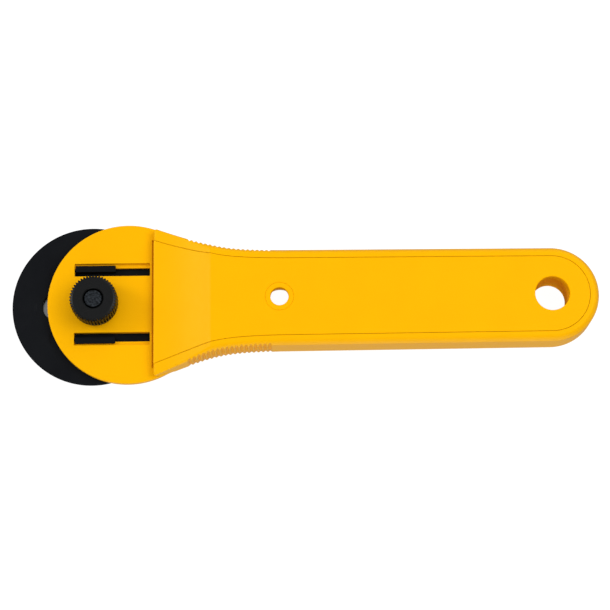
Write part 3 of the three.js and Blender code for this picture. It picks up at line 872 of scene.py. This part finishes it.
def make_nut():
    """A knurled drum on a smooth flange, bevelled on top, with a chamfered bore."""
    flange_high = NUT_LOW_Z + NUT_FLANGE_HEIGHT
    levels = [
        (NUT_BORE_RADIUS + NUT_EDGE, NUT_LOW_Z),
        (NUT_FLANGE_RADIUS - NUT_EDGE, NUT_LOW_Z),
        (NUT_FLANGE_RADIUS, NUT_LOW_Z + NUT_EDGE),
        (NUT_FLANGE_RADIUS, flange_high - NUT_EDGE),
        (NUT_FLANGE_RADIUS - NUT_EDGE, flange_high),
        (knurl(NUT_FLANGE_RADIUS - 1.5 * NUT_EDGE), flange_high),
        (knurl(NUT_TIP_RADIUS), flange_high + NUT_EDGE),
    ]
    bevel_width = NUT_TIP_RADIUS - NUT_FACE_RADIUS
    for k in range(BEVEL_STEPS + 1):
        share = k / BEVEL_STEPS
        height = NUT_HIGH_Z - NUT_BEVEL_HEIGHT * (1 - share)
        levels.append((knurl(NUT_TIP_RADIUS - bevel_width * share), height))
    levels += [
        (NUT_FACE_RADIUS - NUT_EDGE, NUT_HIGH_Z),
        (NUT_MOUTH_RADIUS + 2 * NUT_EDGE, NUT_HIGH_Z),
        (NUT_MOUTH_RADIUS, NUT_HIGH_Z),
        (NUT_BORE_RADIUS, NUT_HIGH_Z - NUT_MOUTH_RADIUS + NUT_BORE_RADIUS),
        (NUT_BORE_RADIUS, NUT_LOW_Z + NUT_EDGE),
    ]
    return turned("knurled_nut", levels, KNURL_TEETH * POINTS_PER_TOOTH, closed=True)


# ---------------------------------------------------------------- materials

class Finish:
    """A node material, built up from procedural textures in the piece's own coordinates.
    Textures are values from 0 to 1, most of them between 0.3 and 0.7."""

    FADE_WIDTH = 0.1                # mm

    def __init__(self, name, metallic=0.0):
        self.material = bpy.data.materials.new(name)
        self.material.use_nodes = True
        self.tree = self.material.node_tree
        self.shader = self.tree.nodes["Principled BSDF"]
        self.shader.inputs["Metallic"].default_value = metallic
        self.place = self.tree.nodes.new("ShaderNodeTexCoord").outputs["Object"]

    def link(self, source, target):
        self.tree.links.new(source, target)

    def noise(self, per_metre, detail=2.0, rough=0.5, place=None):
        node = self.tree.nodes.new("ShaderNodeTexNoise")
        node.inputs["Scale"].default_value = per_metre
        node.inputs["Detail"].default_value = detail
        node.inputs["Roughness"].default_value = rough
        self.link(place or self.place, node.inputs["Vector"])
        return node.outputs["Fac"]

    def stretched(self, x, y, z):
        """The piece's coordinates, scaled by its own factor along each axis."""
        node = self.tree.nodes.new("ShaderNodeMapping")
        node.inputs["Scale"].default_value = (x, y, z)
        self.link(self.place, node.inputs["Vector"])
        return node.outputs["Vector"]

    def round_axis(self, x=0.0):
        """Distance in metres from the upright axis at x mm from the blade's."""
        shift = self.tree.nodes.new("ShaderNodeVectorMath")
        shift.operation = "SUBTRACT"
        shift.inputs[1].default_value = ORIGIN + Vector((x, 0, 0)) * MM
        self.link(self.place, shift.inputs[0])
        flat = self.tree.nodes.new("ShaderNodeVectorMath")
        flat.operation = "MULTIPLY"
        flat.inputs[1].default_value = (1, 1, 0)
        self.link(shift.outputs[0], flat.inputs[0])
        length = self.tree.nodes.new("ShaderNodeVectorMath")
        length.operation = "LENGTH"
        self.link(flat.outputs[0], length.inputs[0])
        return length.outputs["Value"]

    def spread(self, value, low, high, from_low=0.3, from_high=0.7):
        """Stretches a value from one range to another."""
        node = self.tree.nodes.new("ShaderNodeMapRange")
        node.inputs["From Min"].default_value = from_low
        node.inputs["From Max"].default_value = from_high
        node.inputs["To Min"].default_value = low
        node.inputs["To Max"].default_value = high
        self.link(value, node.inputs["Value"])
        return node.outputs["Result"]

    def near_axis(self, x, radius):
        """1 within `radius` mm of the upright axis at x, fading to 0 just outside."""
        reach = self.round_axis(x)
        return self.spread(reach, 1.0, 0.0, radius * MM, (radius + self.FADE_WIDTH) * MM)

    def larger(self, first, second):
        """The larger of two values."""
        node = self.tree.nodes.new("ShaderNodeMath")
        node.operation = "MAXIMUM"
        self.link(first, node.inputs[0])
        self.link(second, node.inputs[1])
        return node.outputs["Value"]

    def colours(self, value, first, second, from_low=0.3, from_high=0.7):
        """Base colour, from `first` to `second` as the value grows."""
        node = self.tree.nodes.new("ShaderNodeValToRGB")
        node.color_ramp.elements[0].position = from_low
        node.color_ramp.elements[1].position = from_high
        node.color_ramp.elements[0].color = (*first, 1)
        node.color_ramp.elements[1].color = (*second, 1)
        self.link(value, node.inputs["Fac"])
        self.link(node.outputs["Color"], self.shader.inputs["Base Color"])

    def roughness(self, value, low, high):
        self.link(self.spread(value, low, high), self.shader.inputs["Roughness"])

    def bumps(self, *layers):
        """Stacks layers of surface texture, each a value and its depth in mm."""
        normal = None
        for value, depth in layers:
            node = self.tree.nodes.new("ShaderNodeBump")
            node.inputs["Strength"].default_value = 1
            node.inputs["Distance"].default_value = depth * MM
            self.link(value, node.inputs["Height"])
            if normal:
                self.link(normal, node.inputs["Normal"])
            normal = node.outputs["Normal"]
        self.link(normal, self.shader.inputs["Normal"])


def handle_finish():
    """Semi-gloss yellow moulding with a fine spark-eroded grain, and dull hole walls."""
    finish = Finish("handle_yellow")
    tone = finish.noise(per_metre=90, detail=3)
    finish.colours(tone, (0.78, 0.37, 0.0), (0.8, 0.381, 0.0))
    sheen = finish.spread(finish.noise(per_metre=700, detail=4), low=0.3, high=0.38)
    tail_wall = finish.near_axis(TAIL_HOLE_X, TAIL_HOLE_RADIUS + TAIL_HOLE_ROUND)
    middle_wall = finish.near_axis(MIDDLE_HOLE_X, MIDDLE_HOLE_RADIUS + MIDDLE_HOLE_ROUND)
    dull = finish.larger(tail_wall, middle_wall)
    finish.link(finish.larger(sheen, dull), finish.shader.inputs["Roughness"])
    grain = finish.noise(per_metre=3600, detail=2, rough=0.6)
    waviness = finish.noise(per_metre=160, detail=1)
    finish.bumps((grain, 0.012), (waviness, 0.008))
    finish.shader.inputs["Specular IOR Level"].default_value = 0.2
    finish.shader.inputs["Specular Tint"].default_value = (1, 0.78, 0.13, 1)
    return finish.material


def guard_finish():
    """Matte black moulding with a fine grain."""
    finish = Finish("guard_black")
    tone = finish.noise(per_metre=120, detail=3)
    finish.colours(tone, (0.0035, 0.004, 0.0053), (0.005, 0.0057, 0.007))
    finish.roughness(finish.noise(per_metre=900, detail=3), low=0.45, high=0.58)
    grain = finish.noise(per_metre=3200, detail=2, rough=0.6)
    finish.bumps((grain, 0.02))
    finish.shader.inputs["Specular IOR Level"].default_value = 0.04
    return finish.material


def nut_finish():
    """Black glass-filled plastic with pale specks."""
    finish = Finish("nut_black")
    specks = finish.noise(per_metre=3800, detail=2, rough=0.7)
    finish.colours(specks, (0.002, 0.0022, 0.0024), (0.006, 0.0064, 0.007), 0.45, 0.8)
    finish.roughness(finish.noise(per_metre=1200, detail=3), low=0.26, high=0.36)
    grain = finish.noise(per_metre=3000, detail=3, rough=0.6)
    finish.bumps((grain, 0.015))
    finish.shader.inputs["Specular IOR Level"].default_value = 0.13
    return finish.material


def blade_finish():
    """Ground tool steel: fine rings about the axis, broken up by grain."""
    finish = Finish("blade_ground_steel", metallic=1.0)
    tone = finish.noise(per_metre=70, detail=3)
    finish.colours(tone, (0.16, 0.167, 0.172), (0.2, 0.206, 0.21))
    rings = finish.tree.nodes.new("ShaderNodeTexNoise")
    rings.noise_dimensions = "1D"
    rings.inputs["Scale"].default_value = 9000
    rings.inputs["Detail"].default_value = 4
    finish.link(finish.round_axis(), rings.inputs["W"])
    finish.roughness(rings.outputs["Fac"], low=0.2, high=0.34)
    grain = finish.noise(per_metre=1400, detail=2)
    finish.bumps((rings.outputs["Fac"], 0.0015), (grain, 0.001))
    return finish.material


def bolt_finish():
    """Blackened steel with a rough, slightly blotchy surface."""
    finish = Finish("bolt_dark_steel", metallic=1.0)
    blotches = finish.noise(per_metre=1500, detail=4, rough=0.7)
    finish.colours(blotches, (0.006, 0.007, 0.008), (0.036, 0.041, 0.048), 0.38, 0.66)
    finish.roughness(finish.noise(per_metre=1500, detail=3), low=0.42, high=0.6)
    grain = finish.noise(per_metre=2400, detail=4, rough=0.7)
    finish.bumps((grain, 0.03))
    return finish.material


def spring_finish():
    """Plain spring steel, drawn along its length."""
    finish = Finish("spring_steel", metallic=1.0)
    tone = finish.noise(per_metre=300, detail=3)
    finish.colours(tone, (0.33, 0.34, 0.355), (0.42, 0.43, 0.44))
    along = finish.stretched(0.15, 3, 1)
    lines = finish.noise(per_metre=1500, detail=3, rough=0.6, place=along)
    finish.roughness(lines, low=0.26, high=0.42)
    finish.bumps((lines, 0.004))
    return finish.material


# ---------------------------------------------------------------- putting pieces on the frame

def place(piece, body, node, slot, material):
    """Puts a finished piece in the row frame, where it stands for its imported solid."""
    mesh = piece.data
    mesh.transform(TO_ROW)
    mesh.materials.clear()
    mesh.materials.append(material)
    mesh.shade_smooth()
    mesh.set_sharp_from_angle(angle=SHARP_ANGLE)
    modifier = piece.modifiers.new("even_normals", "WEIGHTED_NORMAL")
    modifier.keep_sharp = True
    modifier.weight = NORMAL_WEIGHT
    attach(piece, body)
    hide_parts(node)


yellow = handle_finish()
place(make_handle_frame(), "handle", "handle_frame", "handle_plastic", yellow)
place(make_front_panel(), "handle", "front_panel", "handle_plastic", yellow)
place(make_back_panel(), "handle", "back_panel", "handle_plastic", yellow)
place(make_guard(), "guard", "blade_guard", "guard_plastic", guard_finish())
place(make_blade(), "blade", "blade", "blade_steel", blade_finish())
place(make_bolt(), "handle", "bolt", "bolt_steel", bolt_finish())
place(make_washer(), "washer", "spring_washer", "spring_steel", spring_finish())
place(make_nut(), "nut", "thumb_nut", "nut_plastic", nut_finish())


# ---------------------------------------------------------------- floor, light and camera

def make_floor():
    """A pale sheet that touches the bolt's head and the back of the tail, as a table would. It
    is seen, but it neither lights the object nor shades it."""
    mesh = bpy.data.meshes.new("floor")
    reach = FLOOR_HALF_SIZE
    corners = [(-reach, -reach, 0), (reach, -reach, 0), (reach, reach, 0), (-reach, reach, 0)]
    mesh.from_pydata(corners, [], [(0, 1, 2, 3)])
    floor = bpy.data.objects.new("floor", mesh)
    bpy.context.scene.collection.objects.link(floor)
    contact_x = bolt_high.x - BOLT_HEAD_CHAMFER * 2 * MM
    tail_x = handle_high.x - EDGE_ROUND_WIDTH * MM
    tilt = math.atan2(handle_low.z - bolt_low.z, tail_x - contact_x)
    floor.rotation_euler = (0, -tilt, 0)
    floor.location = (contact_x, 0, bolt_low.z)
    floor.visible_diffuse = False
    floor.visible_glossy = False
    floor.visible_shadow = False
    material = bpy.data.materials.new("floor_white")
    material.use_nodes = True
    inputs = material.node_tree.nodes["Principled BSDF"].inputs
    inputs["Base Color"].default_value = (FLOOR_GREY, FLOOR_GREY, FLOOR_GREY, 1)
    inputs["Roughness"].default_value = FLOOR_ROUGHNESS
    inputs["Emission Color"].default_value = (1, 1, 1, 1)
    inputs["Emission Strength"].default_value = FLOOR_GLOW
    mesh.materials.append(material)


def make_light(name, azimuth, elevation, width, radiance):
    """A round soft light aimed at the middle of the object. Azimuth 0 is the -Y side, and 90 is
    the +X side."""
    lamp = bpy.data.lights.new(name, "AREA")
    lamp.shape = "DISK"
    lamp.size = width
    lamp.energy = radiance * (math.pi * width / 2) ** 2
    light = bpy.data.objects.new(name, lamp)
    bpy.context.scene.collection.objects.link(light)
    a = math.radians(azimuth)
    e = math.radians(elevation)
    way = Vector((math.sin(a) * math.cos(e), -math.cos(a) * math.cos(e), math.sin(e)))
    light.location = way * LIGHT_DISTANCE
    light.rotation_mode = "QUATERNION"
    light.rotation_quaternion = way.to_track_quat("Z", "Y")


def make_world():
    """A studio that is bright overhead and dimmer round the horizon, and plain white where the
    camera sees it."""
    world = bpy.data.worlds.new("studio")
    world.use_nodes = True
    tree = world.node_tree
    background = tree.nodes["Background"]
    way = tree.nodes.new("ShaderNodeTexCoord")
    split = tree.nodes.new("ShaderNodeSeparateXYZ")
    tree.links.new(way.outputs["Generated"], split.inputs[0])
    height = tree.nodes.new("ShaderNodeMapRange")
    height.inputs["From Min"].default_value = -1
    tree.links.new(split.outputs["Z"], height.inputs["Value"])
    fade = tree.nodes.new("ShaderNodeFloatCurve")
    points = fade.mapping.curves[0].points
    points[0].location = STUDIO[0]
    points[1].location = STUDIO[-1]
    for share, light in STUDIO[1:-1]:
        points.new(share, light)
    fade.mapping.update()
    tree.links.new(height.outputs["Result"], fade.inputs["Value"])
    seen = tree.nodes.new("ShaderNodeLightPath")
    level = tree.nodes.new("ShaderNodeMix")
    level.inputs["B"].default_value = 1.0
    tree.links.new(seen.outputs["Is Camera Ray"], level.inputs["Factor"])
    tree.links.new(fade.outputs["Value"], level.inputs["A"])
    tree.links.new(level.outputs["Result"], background.inputs["Strength"])
    background.inputs["Color"].default_value = (1, 1, 1, 1)
    bpy.context.scene.world = world


def make_camera():
    """Above the handle, tipped a little towards -Y, and turned a little in its own plane."""
    aim = Vector((CAMERA_TARGET_X, CAMERA_TARGET_Y, HANDLE_THICKNESS / 2))
    target = ORIGIN + aim * MM
    elevation = math.radians(CAMERA_ELEVATION)
    roll = math.radians(CAMERA_ROLL)
    back = Vector((0, -math.cos(elevation), math.sin(elevation)))
    right = Vector((1, 0, 0))
    up = back.cross(right)
    side = right * math.cos(roll) + up * math.sin(roll)
    top = up * math.cos(roll) - right * math.sin(roll)
    lens = bpy.data.cameras.new("camera")
    lens.sensor_width = CAMERA_SENSOR
    lens.lens = CAMERA_LENS
    lens.clip_start = CAMERA_CLIP_START
    lens.clip_end = CAMERA_CLIP_END
    camera = bpy.data.objects.new("camera", lens)
    bpy.context.scene.collection.objects.link(camera)
    turn = Matrix((side, top, back)).transposed().to_4x4()
    camera.matrix_world = Matrix.Translation(target + back * CAMERA_DISTANCE * MM) @ turn
    bpy.context.scene.camera = camera


make_floor()
make_world()
for light in LIGHTS:
    make_light(*light)
make_camera()
bpy.context.scene.view_settings.view_transform = "Standard"
